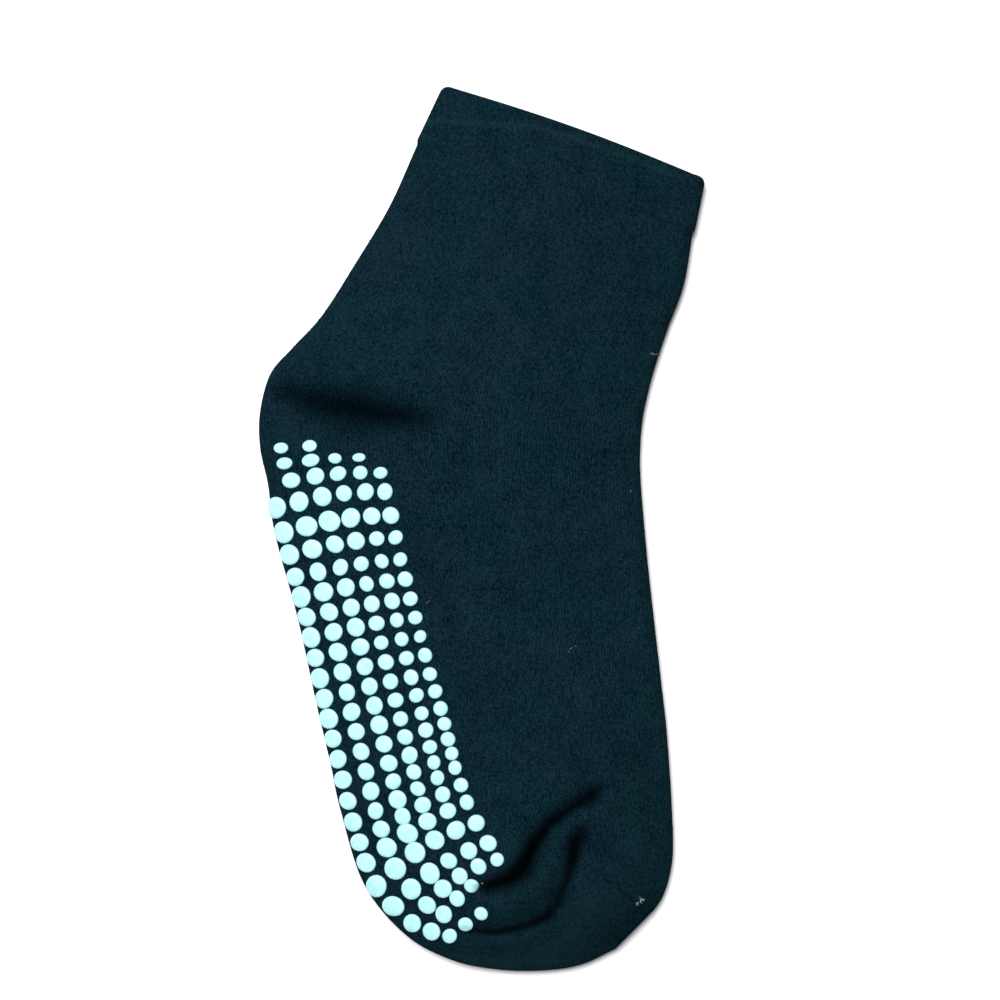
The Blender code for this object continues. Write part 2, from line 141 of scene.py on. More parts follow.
# Creases and ridges on the upper side, listed in millimetres from the heel's back
# and the sole's edge. A crease's height is under nought.
# name: stops of (along, across, height, half width)
RELIEF = {
    "toe_fold": ((96.5, 65.5, -0.6, 3.4), (98.3, 64.1, -1.8, 2.8), (101.1, 58.0, -2.6, 2.0),
                 (104.2, 51.8, -3.4, 1.8), (108.3, 47.7, -4.4, 2.0), (113.3, 44.4, -4.6, 2.3),
                 (115.2, 40.9, -3.8, 2.0), (116.2, 33.6, -2.0, 1.5)),
    "toe_tuck": ((107.4, 58.6, -1.8, 2.6), (113.1, 56.6, -3.0, 2.0), (117.5, 54.3, -2.2, 1.5),
                 (122.8, 51.0, -1.9, 1.5), (125.5, 48.1, -2.2, 1.6), (127.0, 42.9, -2.0, 1.5),
                 (127.4, 35.5, -1.9, 1.4), (125.7, 28.5, -1.0, 1.3)),
    "toe_roll": ((104.0, 59.0, 0.6, 2.6), (109.5, 52.9, 1.4, 2.6), (116.5, 49.4, 1.7, 2.8),
                 (121.0, 42.5, 1.6, 3.2), (121.8, 34.3, 0.8, 3.2)),
    "toe_slope": ((108.9, 60.7, -0.6, 3.5), (117.3, 66.6, -0.3, 4.0)),
    "toe_lip": ((95.0, 68.0, 0.4, 4.0), (105.0, 63.0, 1.0, 4.0), (116.0, 60.0, 0.6, 4.0)),
    "heel_dip": ((-9.1, 7.9, -1.0, 3.6), (-4.9, 14.7, -2.2, 4.2), (-2.0, 22.8, -2.8, 4.4),
                 (1.5, 31.8, -2.2, 4.2), (4.0, 39.9, -1.2, 4.4), (5.6, 49.3, -0.3, 5.0)),
    "heel_ridge": ((-17.3, 9.6, 1.0, 4.5), (-13.6, 19.7, 1.8, 4.5), (-9.5, 33.3, 1.3, 5.0),
                   (-6.3, 46.9, 0.3, 6.0)),
    "heel_cup": ((8.0, 8.0, 0.6, 5.0), (9.0, 20.0, 0.9, 6.0), (12.0, 34.0, 0.5, 6.0)),
    "cuff_dent": ((-48.9, 75.0, -0.3, 3.0), (-43.0, 74.9, -0.9, 3.0), (-30.9, 73.4, -0.2, 4.0)),
    "side_dip": ((40.0, 41.4, -0.2, 4.0), (52.0, 39.2, -0.8, 4.0), (77.0, 37.0, -0.6, 4.0),
                 (95.0, 40.0, -0.2, 4.0)),
    "ball_ridge": ((68.9, 62.9, 0.2, 4.0), (80.4, 66.5, 0.8, 4.0), (92.0, 70.0, 0.3, 4.0)),
    "ball_dip": ((83.3, 67.0, -0.4, 4.0), (87.5, 67.7, -0.9, 4.0), (94.3, 72.5, -0.8, 4.5),
                 (107.1, 74.2, -0.2, 4.0)),
    "toe_seam": ((115.7, 62.0, 0.15, 0.6), (120.8, 65.9, 0.45, 0.6), (126.1, 69.9, 0.45, 0.6),
                 (131.4, 72.1, 0.2, 0.6)),
    "front_course": ((-19.3, 84.1, -0.1, 1.0), (-18.3, 89.5, -0.35, 1.0),
                     (-15.6, 95.6, -0.3, 1.0), (-11.9, 102.3, -0.1, 1.0)),
    "back_course": ((-47.1, 41.0, 0.1, 1.4), (-42.6, 48.5, 0.3, 1.4), (-36.8, 53.8, 0.1, 1.4)),
}

# Painted shade on the knit where it is pressed into creases or turned from the light, in the
# same millimetres. A darkness under nought is a painted highlight that makes it lighter.
# name: stops of (along, across, darkness, half width)
PAINTED_SHADE = {
    "toe_fold": ((97.2, 66.4, 0.40, 2.0), (98.9, 63.6, 0.84, 2.5), (101.1, 58.0, 0.78, 1.3),
                 (104.2, 51.8, 0.88, 1.4), (108.3, 47.7, 0.95, 1.9), (113.0, 44.2, 0.97, 2.6),
                 (115.0, 40.9, 0.95, 2.1), (115.9, 35.1, 0.80, 1.7)),
    "toe_tuck": ((107.6, 59.2, 0.60, 1.8), (109.0, 57.6, 0.85, 2.4), (113.1, 56.2, 0.90, 1.8),
                 (117.5, 54.3, 0.70, 1.1), (122.8, 51.0, 0.65, 1.2), (125.5, 48.1, 0.80, 1.4),
                 (127.0, 42.9, 0.74, 1.2), (127.4, 35.5, 0.78, 1.1), (125.7, 28.5, 0.60, 1.0)),
    # Painted highlight over the toe.
    "toe_light": ((112.0, 70.0, -0.10, 6.0), (124.0, 60.0, -0.16, 6.5), (134.0, 50.0, -0.22, 6.0),
                  (136.0, 36.0, -0.22, 5.0), (132.0, 26.0, -0.15, 5.0)),
    "toe_slope": ((107.4, 59.6, 0.30, 3.2), (111.9, 62.6, 0.28, 3.2), (117.3, 66.6, 0.12, 3.6)),
    "roll_side": ((118.5, 47.0, 0.20, 3.0), (121.0, 40.0, 0.22, 3.5), (121.0, 33.0, 0.20, 3.0)),
    "heel_dip": ((-9.6, 3.6, 0.30, 3.0), (-7.9, 8.4, 0.55, 3.4), (-4.2, 14.7, 0.68, 4.2),
                 (-1.6, 22.8, 0.76, 4.6), (2.0, 31.8, 0.72, 4.2), (4.6, 39.9, 0.46, 3.6),
                 (6.2, 49.3, 0.15, 4.0)),
    "heel_shadow": ((-4.0, 9.0, 0.16, 5.5), (3.2, 20.8, 0.30, 6.0), (6.4, 30.8, 0.26, 5.5),
                    (8.0, 41.0, 0.10, 6.0)),
    "side_dip": ((17.5, 30.1, 0.10, 2.6), (32.9, 34.7, 0.18, 2.8), (48.1, 37.6, 0.24, 3.0),
                 (67.9, 39.5, 0.24, 3.0), (80.8, 39.6, 0.16, 3.0)),
    "ball_dip": ((80.0, 70.0, 0.12, 4.0), (89.0, 72.5, 0.26, 4.5), (96.3, 77.0, 0.26, 5.0),
                 (107.0, 77.0, 0.14, 5.0)),
    # Painted highlight along the ball's ridge.
    "ball_ridge": ((68.9, 62.9, -0.06, 4.0), (80.4, 66.5, -0.12, 4.0), (92.0, 68.0, -0.04, 4.0)),
    "toe_seam": ((115.9, 61.3, 0.20, 0.4), (121.1, 65.1, 0.45, 0.4), (126.4, 69.1, 0.45, 0.4),
                 (131.4, 71.6, 0.20, 0.4)),
    # Painted highlight along the collar's rolled rim.
    "collar": ((-71.9, 31.0, -0.25, 0.8), (-58.4, 78.4, -0.25, 0.8), (-41.3, 110.0, -0.25, 0.8)),
}

# The creases are this much wider in the lining than in the skin.
LINING_SPREAD = 1.7

# Where the creases start from a fold's edge, and how far in they have their full height.
CREASE_EDGE = 0.0008
CREASE_FADE = 0.0075


def along_leg(up, across):
    """Plan point of a place on the leaning leg."""
    rise = up * LEG_HEIGHT
    side = across * LEG_WIDTH
    along = ANKLE_ALONG - rise * math.cos(LEG_LEAN_ANGLE) + side * math.sin(LEG_LEAN_ANGLE)
    over = ANKLE_ACROSS + rise * math.sin(LEG_LEAN_ANGLE) + side * math.cos(LEG_LEAN_ANGLE)
    return along, over


def table_rows():
    """All sections in metres: sole fold, instep fold, puff and the print's reach."""
    rows = []
    for back_up, back_across, front_up, front_across, puff in LEG_ROWS:
        back = along_leg(back_up, back_across)
        front = along_leg(front_up, front_across)
        rows.append((*back, *front, puff, FOOT_ROWS[0][5]))
    for sole_along, sole_across, instep_along, instep_across, puff, reach in FOOT_ROWS:
        sole = (sole_along * FOOT_LENGTH, sole_across * FOOT_WIDTH)
        instep = (instep_along * FOOT_LENGTH, instep_across * FOOT_WIDTH)
        rows.append((*sole, *instep, puff, reach))
    return np.array(rows)


ROWS = table_rows()


def smooth_row(station):
    """The section at a station, on a smooth curve through the table's rows."""
    last = len(ROWS) - 1
    low = int(min(max(math.floor(station), 0), last - 1))
    t = station - low
    p1, p2 = ROWS[low], ROWS[low + 1]
    p0 = ROWS[low - 1] if low > 0 else 2 * p1 - p2
    p3 = ROWS[low + 2] if low + 2 <= last else 2 * p2 - p1
    bend = (2 * p0 - 5 * p1 + 4 * p2 - p3) * t * t + (3 * p1 - 3 * p2 + p3 - p0) * t ** 3
    return p1 + 0.5 * ((p2 - p0) * t + bend)


def edge_normal(station, first, toward):
    """Unit normal in plan of the fold whose columns start at first, facing toward."""
    ahead = smooth_row(station + NORMAL_STEP)[first:first + 2]
    run = ahead - smooth_row(station - NORMAL_STEP)[first:first + 2]
    normal = np.array([-run[1], run[0]]) / np.linalg.norm(run)
    return normal if normal @ toward > 0 else -normal


def section_frame(station):
    """Centres, normals and sizes of the two folds of a section, by name."""
    row = smooth_row(station)
    sole = row[0:2]
    instep = row[2:4]
    width = np.linalg.norm(instep - sole)
    fold = min(FOLD_RADIUS, FOLD_MOST_SHARE * width)
    sole_in = edge_normal(station, 0, instep - sole)
    instep_in = edge_normal(station, 2, sole - instep)
    return {
        "sole": sole + fold * sole_in, "instep": instep + fold * instep_in,
        "sole_in": sole_in, "instep_in": instep_in, "fold": fold,
        "puff": max(row[4], 0.0) * PUFF, "print": row[5], "station": station, "width": width,
    }


def ease(value):
    """A smooth step from 0 to 1."""
    value = np.clip(value, 0.0, 1.0)
    return value * value * (3 - 2 * value)


def floor_lift(at, share):
    """How far the studs beneath and the cuff hold the skin off the floor."""
    station = at["station"]
    printed = ease((station - BED_START) / LIFT_RISE_ROWS + 1)
    printed *= ease((BED_END - station) / LIFT_FALL_ROWS + 1)
    beside = 1 - ease((share - at["print"]) / LIFT_BLEND_SHARE)
    cuffed = 1 - ease((station - CUFF_END - CUFF_LEVEL_ROWS) / CUFF_FALL_ROWS)
    return STUD_HEIGHT * printed * beside + CUFF_STEP * cuffed


def ribbons(table, place, spread=1.0):
    """What each ribbon of a table adds at plan points in metres, row by row."""
    place = np.atleast_2d(place) * 1000
    for stops in table.values():
        stops = np.array(stops)
        best = np.full(len(place), np.inf)
        value = np.zeros(len(place))
        width = np.ones(len(place))
        for a, b in zip(stops[:-1], stops[1:]):
            run = b[:2] - a[:2]
            t = np.clip((place - a[:2]) @ run / (run @ run), 0, 1)
            gap = np.linalg.norm(place - a[:2] - t[:, None] * run, axis=1)
            nearer = gap < best
            best[nearer] = gap[nearer]
            value[nearer] = (a[2] + (b[2] - a[2]) * t)[nearer]
            width[nearer] = (a[3] + (b[3] - a[3]) * t)[nearer]
        yield value * np.exp(-((best / (width * spread)) ** 2))


def relief(place):
    """Height in metres that the creases and ridges add at plan points."""
    return sum(ribbons(RELIEF, place)) / 1000


def lining_relief(place):
    """The creases again for the lining, wider so that it keeps clear beneath the skin."""
    return sum(np.minimum(part, 0) for part in ribbons(RELIEF, place, LINING_SPREAD)) / 1000


def painted_shade_at(place):
    """The painted shade on the knit at plan points, under 0 where it is a painted highlight."""
    kept = 1.0
    for painted_shade in ribbons(PAINTED_SHADE, place):
        kept = kept * (1 - painted_shade)
    return 1 - kept


def swell(at, edge_distance):
    """Height that the air inside adds, from nought at the folds to most in the middle."""
    return at["puff"] * np.sin(math.pi * edge_distance / at["width"])


def from_edge(at, share):
    """Distance from the sole's edge of a share of the flat between the folds."""
    return at["fold"] + share * (at["width"] - 2 * at["fold"])


def edge_fade(at, share):
    """Share of a crease's height that is left near a fold."""
    away = from_edge(at, share)
    return ease((np.minimum(away, at["width"] - away) - CREASE_EDGE) / CREASE_FADE)


# Facets round each fold, over the top and over the underside, wales over the sock's width,
# and the least radius that a fold of the lining keeps.
FOLD_STEPS = 12
TOP_STEPS = 140
BASE_STEPS = 22
WALES = 57
LEAST_RADIUS = 0.0003


def section(station, inset, creased=True, depth=1.0):
    """A closed ring of points, inset from the skin, and for each its wale number and the painted
    shade there. depth is under 1 only on the sections that close the toe."""
    at = section_frame(station)
    radius = max(at["fold"] - inset, LEAST_RADIUS)
    turn = np.linspace(-0.5, 0.5, FOLD_STEPS + 1) * math.pi

    def fold(side, angle, share):
        push = radius * np.sqrt(1 - (depth * np.sin(angle)) ** 2)
        out = at[side] - at[side + "_in"] * push[:, None]
        level = radius * np.sin(angle)
        level += np.where(angle > 0, swell(at, at["fold"] * (1 - np.cos(angle))), 0)
        return np.column_stack([out, floor_lift(at, share) + at["fold"] + depth * level])

    def flat(share, level):
        inward = np.outer(1 - share, at["sole_in"]) + np.outer(share, at["instep_in"])
        plan = at["sole"] + (at["instep"] - at["sole"]) * share[:, None]
        plan = plan - inward * radius * math.sqrt(1 - depth ** 2)
        middle = floor_lift(at, share) + at["fold"]
        return np.column_stack([plan, middle + depth * (level - middle)])

    top_share = np.linspace(0, 1, TOP_STEPS + 1)[1:-1]
    base_share = np.linspace(1, 0, BASE_STEPS + 1)[1:-1]
    top_level = floor_lift(at, top_share) + 2 * at["fold"] - inset
    top_level += swell(at, from_edge(at, top_share))
    top = flat(top_share, top_level)
    sole_fold = fold("sole", turn, 0.0)
    instep_fold = fold("instep", turn[::-1], 1.0)
    # The skin's top and climbing folds carry painted shade in their creases and hollows, and
    # painted highlights under nought.
    painted_shade = np.zeros(2 * FOLD_STEPS + TOP_STEPS + BASE_STEPS)
    if not creased:
        top[:, 2] += lining_relief(top[:, :2]) * edge_fade(at, top_share)
    else:
        top[:, 2] += relief(top[:, :2]) * edge_fade(at, top_share) * depth
        painted_shade[FOLD_STEPS + 1:FOLD_STEPS + TOP_STEPS] = painted_shade_at(top[:, :2])
        climb = turn > 0
        painted_shade[:FOLD_STEPS + 1][climb] = painted_shade_at(sole_fold[climb, :2])
        after = FOLD_STEPS + TOP_STEPS
        painted_shade[after:after + FOLD_STEPS + 1][climb[::-1]] = painted_shade_at(instep_fold[climb[::-1], :2])
    base = flat(base_share, floor_lift(at, base_share) + inset)
    points = np.vstack([sole_fold, top, instep_fold, base])
    bend = at["fold"] * math.pi / at["width"]
    wales = np.concatenate([
        (turn / math.pi) * bend, top_share + 0.5 * bend,
        1 + bend + (turn / math.pi) * bend, 1 + 1.5 * bend + (1 - base_share),
    ])
    return points, np.column_stack([wales * WALES, painted_shade])


def mesh_object(name, points, faces, material, smooth=True):
    """A linked object from points and faces, in one material."""
    mesh = bpy.data.meshes.new(name)
    mesh.from_pydata(np.asarray(points, float).tolist(), [], faces)
    mesh.materials.append(material)
    if smooth:
        mesh.shade_smooth()
    made = bpy.data.objects.new(name, mesh)
    bpy.context.scene.collection.objects.link(made)
    return made


def add_vectors(made, name, values):
    """A vector for each point of a mesh, for its material to read."""
    layer = made.data.attributes.new(name, "FLOAT_VECTOR", "POINT")
    layer.data.foreach_set("vector", np.asarray(values, np.float32).ravel())


class Nodes:
    """Short spelling for a material's nodes."""

    def __init__(self, name):
        self.material = bpy.data.materials.new(name)
        self.material.use_nodes = True
        self.tree = self.material.node_tree
        self.shader = self.tree.nodes["Principled BSDF"]

    def add(self, kind, **settings):
        node = self.tree.nodes.new(kind)
        for key, value in settings.items():
            setattr(node, key, value)
        return node

    def feed(self, source, socket):
        """Links a socket to a source, or sets it where the source is a plain value."""
        if isinstance(source, (int, float, tuple)):
            socket.default_value = source
        else:
            self.tree.links.new(source, socket)

    def math(self, operation, first, second=None, third=None):
        node = self.add("ShaderNodeMath", operation=operation)
        for source, socket in zip((first, second, third), node.inputs):
            if source is not None:
                self.feed(source, socket)
        return node.outputs[0]

    def noise(self, vector, scale, detail=2.0, roughness=0.5):
        node = self.add("ShaderNodeTexNoise")
        self.feed(vector, node.inputs["Vector"])
        node.inputs["Scale"].default_value = scale
        node.inputs["Detail"].default_value = detail
        node.inputs["Roughness"].default_value = roughness
        return node.outputs["Fac"]

    def ramp(self, source, low, high):
        """A smooth step from 0 at low to 1 at high."""
        node = self.add("ShaderNodeMapRange", interpolation_type="SMOOTHSTEP")
        for value, socket in zip((source, low, high), node.inputs):
            self.feed(value, socket)
        return node.outputs[0]

    def mix(self, share, first, second):
        node = self.add("ShaderNodeMix", data_type="RGBA")
        self.feed(share, node.inputs[0])
        self.feed(first, node.inputs[6])
        self.feed(second, node.inputs[7])
        return node.outputs[2]

    def tint(self, first, second):
        """Two colours multiplied."""
        node = self.add("ShaderNodeMix", data_type="RGBA", blend_type="MULTIPLY")
        node.inputs[0].default_value = 1.0
        self.feed(first, node.inputs[6])
        self.feed(second, node.inputs[7])
        return node.outputs[2]

    def bump(self, height, distance, strength=1.0, under=None):
        node = self.add("ShaderNodeBump")
        self.feed(height, node.inputs["Height"])
        node.inputs["Distance"].default_value = distance
        node.inputs["Strength"].default_value = strength
        if under is not None:
            self.feed(under, node.inputs["Normal"])
        return node.outputs[0]


# The knit's colours: between the loops and on them, the painted shade deep in a crease, and the
# painted highlight where it is lightest.
KNIT_DARK = (0.0000, 0.0038, 0.0082, 1.0)
KNIT_LIGHT = (0.0072, 0.0255, 0.0350, 1.0)
KNIT_PAINTED_SHADE = (0.00005, 0.0006, 0.0011, 1.0)
KNIT_PAINTED_HIGHLIGHT = (0.018, 0.055, 0.072, 1.0)
KNIT_TINTS = ((0.90, 1.04, 0.98, 1.0), (1.10, 0.97, 1.04, 1.0))
SHEEN_TINT = (0.35, 0.6, 0.7, 1.0)

# How wales and courses wander: scale of the noise, amount in wales or courses.
WALE_WANDERS = ((180.0, 0.55), (900.0, 0.55))
COURSE_WANDER = (700.0, 0.8)

# The loops: how far their legs slant, how round they are, how much they dip between courses.
LOOP_SLANT = 1.3
LEG_ROUNDNESS = 0.6
LOOP_DIP = 0.40

# Noises in the knit's lightness: scale, detail, roughness.
HAIR_NOISE = (2300.0, 4.0, 0.75)
HEATHER_NOISE = (1300.0, 2.0, 0.6)
PATCH_NOISE = (160.0, 3.0, 0.6)

# What each part adds to the lightness, and the range of it that the colours cover.
STITCH_AMOUNT = 0.22
HAIR_AMOUNT = 1.70
HEATHER_AMOUNT = 0.90
PATCH_AMOUNT = 0.40
LIGHTNESS_RANGE = (-0.32, 0.62)

# Noise that shifts the hue: scale, detail, then the range of it that the tints cover.
HUE_NOISE = (60.0, 2.0)
HUE_RANGE = (0.35, 0.65)

# Bumps: distance in metres, strength.
STITCH_BUMP = (0.00030, 0.7)
HAIR_BUMP = (0.00020, 0.8)


def knit_material():
    """Knit with wales and courses that wander, heathered and a little fuzzy. Its point attribute
    holds the wale, the course and the painted shade there, a painted highlight under nought."""
    n = Nodes("knit")
    stitch_and_painted_shade = n.add("ShaderNodeAttribute", attribute_name="stitch_and_painted_shade").outputs["Vector"]
    split = n.add("ShaderNodeSeparateXYZ")
    n.feed(stitch_and_painted_shade, split.inputs[0])
    place = n.add("ShaderNodeTexCoord").outputs["Object"]
    wale, course, painted_shade = split.outputs
    for scale, amount in WALE_WANDERS:
        wander = n.math("SUBTRACT", n.noise(place, scale, 1.0), 0.5)
        wale = n.math("MULTIPLY_ADD", wander, amount, wale)
    wobble = n.math("SUBTRACT", n.noise(place, COURSE_WANDER[0], 1.0), 0.5)
    course = n.math("MULTIPLY_ADD", wobble, COURSE_WANDER[1], course)
    beside = n.math("ABSOLUTE", n.math("SUBTRACT", n.math("FRACT", wale), 0.5))
    phase = n.math("FRACT", n.math("ADD", course, n.math("MULTIPLY", beside, LOOP_SLANT)))
    loop = n.math("SINE", n.math("MULTIPLY", phase, math.pi))
    leg = n.math("SINE", n.math("MULTIPLY", beside, 2 * math.pi))
    leg = n.math("POWER", n.math("MAXIMUM", leg, 0.0), LEG_ROUNDNESS)
    stitches = n.math("MULTIPLY", leg, n.math("MULTIPLY_ADD", loop, LOOP_DIP, 1 - LOOP_DIP))
    hair = n.noise(place, *HAIR_NOISE)
    heather = n.noise(place, *HEATHER_NOISE)
    patch = n.noise(place, *PATCH_NOISE)
    lit = n.math("MULTIPLY", stitches, STITCH_AMOUNT)
    parts = ((hair, HAIR_AMOUNT), (heather, HEATHER_AMOUNT), (patch, PATCH_AMOUNT))
    for source, amount in parts:
        lit = n.math("MULTIPLY_ADD", n.math("SUBTRACT", source, 0.5), amount, lit)
    colour = n.mix(n.ramp(lit, *LIGHTNESS_RANGE), KNIT_DARK, KNIT_LIGHT)
    hue = n.ramp(n.noise(place, *HUE_NOISE), *HUE_RANGE)
    colour = n.tint(colour, n.mix(hue, *KNIT_TINTS))
    # Painted shade darkens the knit in its creases and hollows, and a painted highlight lightens
    # it where the value is under nought.
    colour = n.mix(n.ramp(painted_shade, 0.0, 1.0), colour, KNIT_PAINTED_SHADE)
    painted_highlight = n.ramp(n.math("MULTIPLY", painted_shade, -1.0), 0.0, 1.0)
    colour = n.mix(painted_highlight, colour, KNIT_PAINTED_HIGHLIGHT)
    n.feed(colour, n.shader.inputs["Base Color"])
    bumped = n.bump(stitches, *STITCH_BUMP)
    bumped = n.bump(hair, *HAIR_BUMP, bumped)
    n.feed(bumped, n.shader.inputs["Normal"])
    n.shader.inputs["Roughness"].default_value = 0.95
    n.shader.inputs["Specular IOR Level"].default_value = 0.0
    n.shader.inputs["Sheen Weight"].default_value = 0.01
    n.shader.inputs["Sheen Roughness"].default_value = 0.5
    n.shader.inputs["Sheen Tint"].default_value = SHEEN_TINT
    return n.material


# The print: its two tones, the scale and detail of its clouds, the range of them that the
# tones cover, and its bump's distance and strength.
PRINT_COLOURS = ((0.350, 0.670, 0.740, 1.0), (0.440, 0.760, 0.800, 1.0))
PRINT_CLOUD = (700.0, 2.0)
CLOUD_RANGE = (0.3, 0.7)
PRINT_BUMP = (0.0001, 0.3)


def print_material():
    """Pale mint rubber print, a little cloudy and glossy."""
    n = Nodes("grip_print")
    place = n.add("ShaderNodeTexCoord").outputs["Object"]
    cloud = n.noise(place, *PRINT_CLOUD)
    colour = n.mix(n.ramp(cloud, *CLOUD_RANGE), *PRINT_COLOURS)
    n.feed(colour, n.shader.inputs["Base Color"])
    n.feed(n.bump(cloud, *PRINT_BUMP), n.shader.inputs["Normal"])
    n.shader.inputs["Roughness"].default_value = 0.45
    n.shader.inputs["Specular IOR Level"].default_value = 0.4
    return n.material


def plain_material(name, colour, roughness):
    """One even colour, hardly glossy."""
    n = Nodes(name)
    n.shader.inputs["Base Color"].default_value = colour
    n.shader.inputs["Roughness"].default_value = roughness
    n.shader.inputs["Specular IOR Level"].default_value = 0.1
    return n.material


# Rings along the skin and the lining, points that measure the way between the sections, the
# height of a knitted course, and the courses counted between two rings of the lining.
SKIN_ROWS = 390
LINING_ROWS = 100
MEASURING_ROWS = 400
COURSE_PITCH = 0.00095
LINING_COURSES = 4.0


def even_stations(first, last, count):
    """Stations spread evenly by the length between sections, and that length."""
    fine = np.linspace(first, last, MEASURING_ROWS)
    rows = np.array([smooth_row(station) for station in fine])
    middles = 0.5 * (rows[:, 0:2] + rows[:, 2:4])
    soles = rows[:, 0:2]
    steps = 0.5 * np.linalg.norm(np.diff(middles, axis=0), axis=1)
    steps += 0.5 * np.linalg.norm(np.diff(soles, axis=0), axis=1)
    length = np.concatenate([[0], np.cumsum(steps)])
    return np.interp(np.linspace(0, length[-1], count), length, fine), length[-1]


def place_in_row(points):
    """Points moved from the foot's own lengths to the frame."""
    points = np.array(points)
    points[:, :2] -= ORIGIN
    return points


# The collar's rolled rim: its depth into the wall in shares of the wall, and its station.
RIM = ((-0.09, 0.055), (0.09, 0.018), (0.295, 0.0), (0.50, 0.018), (0.73, 0.055))

# The last rings close the toe: the share of the section's height that each still has.
TOE_CLOSING = (0.97, 0.87, 0.70, 0.50, 0.27, 0.08)


def build_body(material):
    """The knitted body: skin with its cuff, rim and the lining inside. Gives the object and
    the skin's grid of points."""
    stations, length = even_stations(SKIN_START, TOE_END, SKIN_ROWS)
    courses = np.linspace(0, length / COURSE_PITCH, SKIN_ROWS)
    rings = []
    lining_stations, _ = even_stations(SKIN_START, LINING_END, LINING_ROWS)
    for number, station in enumerate(lining_stations[::-1]):
        course = LINING_COURSES * number
        rings.append((*section(station, KNIT_WALL, creased=False), course))
    for level, station in reversed(RIM):
        rings.append((*section(station, level * KNIT_WALL, creased=False), 0.0))
    first_skin = len(rings)
    for course, station in zip(courses, stations):
        past_cuff = station - CUFF_END + 0.5 * WELT_ROWS
        welt = CUFF_STEP * (1 - ease(past_cuff / WELT_ROWS))
        rings.append((*section(station, -welt), course))
    for depth in TOE_CLOSING:
        rings.append((*section(TOE_END, 0.0, depth=depth), courses[-1]))

    # The ring's first point is repeated so that the wale numbers have a clean seam.
    points = []
    values = []
    for places, marks, course in rings:
        closing = marks[0] + (marks[-1, 0] + 1 - marks[0, 0], 0)
        marks = np.vstack([marks, closing])
        points.append(np.vstack([places, places[:1]]))
        values.append(np.column_stack([marks[:, 0], np.full(len(marks), course), marks[:, 1]]))
    wide = len(points[0])
    skin = np.array(points[first_skin:])
    faces = []
    for row in range(len(points) - 1):
        for column in range(wide - 1):
            a = row * wide + column
            faces.append((a, a + 1, a + wide + 1, a + wide))
    ends = [points[-1].mean(axis=0), points[0].mean(axis=0)]
    count = len(points) * wide
    start = count - wide
    for column in range(wide - 1):
        faces.append((start + column, start + column + 1, count))
        faces.append((column + 1, column, count + 1))
    points = np.vstack([*points, ends])
    values = np.vstack([*values, values[-1][:1], values[0][:1]])
    made = mesh_object("knit_body", place_in_row(points), faces, material)
    # Each point's wale, course and painted shade, for the knit material to read.
    add_vectors(made, "stitch_and_painted_shade", values)
    return made, skin


# Loose fibres: how many, their size, how far their lengths spread, the longest as a share.
FIBRES = 15000
FIBRE_LENGTH = 0.0010
FIBRE_RADIUS = 0.000032
FIBRE_LENGTH_SPREAD = 0.4
FIBRE_LONGEST_SHARE = 2.2

# Where they root: depth under the skin, scatter, how much more often on the folds and less
# often beneath than on top, rows left bare at the toe, and their tips' least height.
FIBRE_ROOT_DEPTH = 0.00005
FIBRE_SCATTER = 0.0005
FIBRE_FOLD_WEIGHT = 5.0
FIBRE_BASE_WEIGHT = 0.6
FIBRE_BARE_ROWS = 8
FIBRE_CLEARANCE = 0.0003

# How steeply they rise, and their form: sides, widths at root and middle, and what lean and
# bend add from root to middle and from middle to tip, in shares of the length.
FIBRE_RISE = (0.10, 0.65)
FIBRE_SIDES = 3
FIBRE_TAPER = (1.0, 0.8)
FIBRE_LOWER = (0.55, 0.12)
FIBRE_UPPER = (0.35, 0.45)
FUZZ_COLOURS = ((0.0010, 0.0100, 0.0170, 1.0), (0.0170, 0.0480, 0.0620, 1.0))
FUZZ_NOISE = (500.0, 1.0)
FUZZ_SEED = 11


def fuzz_material():
    """Loose fibres in the knit's lighter tones."""
    n = Nodes("fuzz")
    place = n.add("ShaderNodeTexCoord").outputs["Object"]
    colour = n.mix(n.noise(place, *FUZZ_NOISE), *FUZZ_COLOURS)
    n.feed(colour, n.shader.inputs["Base Color"])
    n.shader.inputs["Roughness"].default_value = 0.9
    n.shader.inputs["Specular IOR Level"].default_value = 0.05
    return n.material


def fibre_mesh(name, roots, leans, lengths, radius, bends, material):
    """Bent tapering fibres as one mesh, from arrays of their roots and directions."""
    side = np.cross(leans, bends)
    side /= np.linalg.norm(side, axis=1)[:, None]
    other = np.cross(leans, side)
    lower = leans * FIBRE_LOWER[0] + bends * FIBRE_LOWER[1]
    upper = leans * FIBRE_UPPER[0] + bends * FIBRE_UPPER[1]
    middle = roots + lower * lengths[:, None]
    tip = middle + upper * lengths[:, None]
    corners = []
    for centre, size in zip((roots, middle), FIBRE_TAPER):
        for k in range(FIBRE_SIDES):
            angle = 2 * math.pi * k / FIBRE_SIDES
            offset = side * math.cos(angle) + other * math.sin(angle)
            corners.append(centre + offset * radius * size)
    corners.append(tip)
    points = np.stack(corners, axis=1).reshape(-1, 3)
    faces = []
    for a in range(0, len(points), len(corners)):
        for k in range(FIBRE_SIDES):
            after = (k + 1) % FIBRE_SIDES
            low, low_after = a + k, a + after
            high, high_after = low + FIBRE_SIDES, low_after + FIBRE_SIDES
            faces.append((low, low_after, high_after, high))
            faces.append((high, high_after, a + 2 * FIBRE_SIDES))
    return mesh_object(name, place_in_row(points), faces, material)


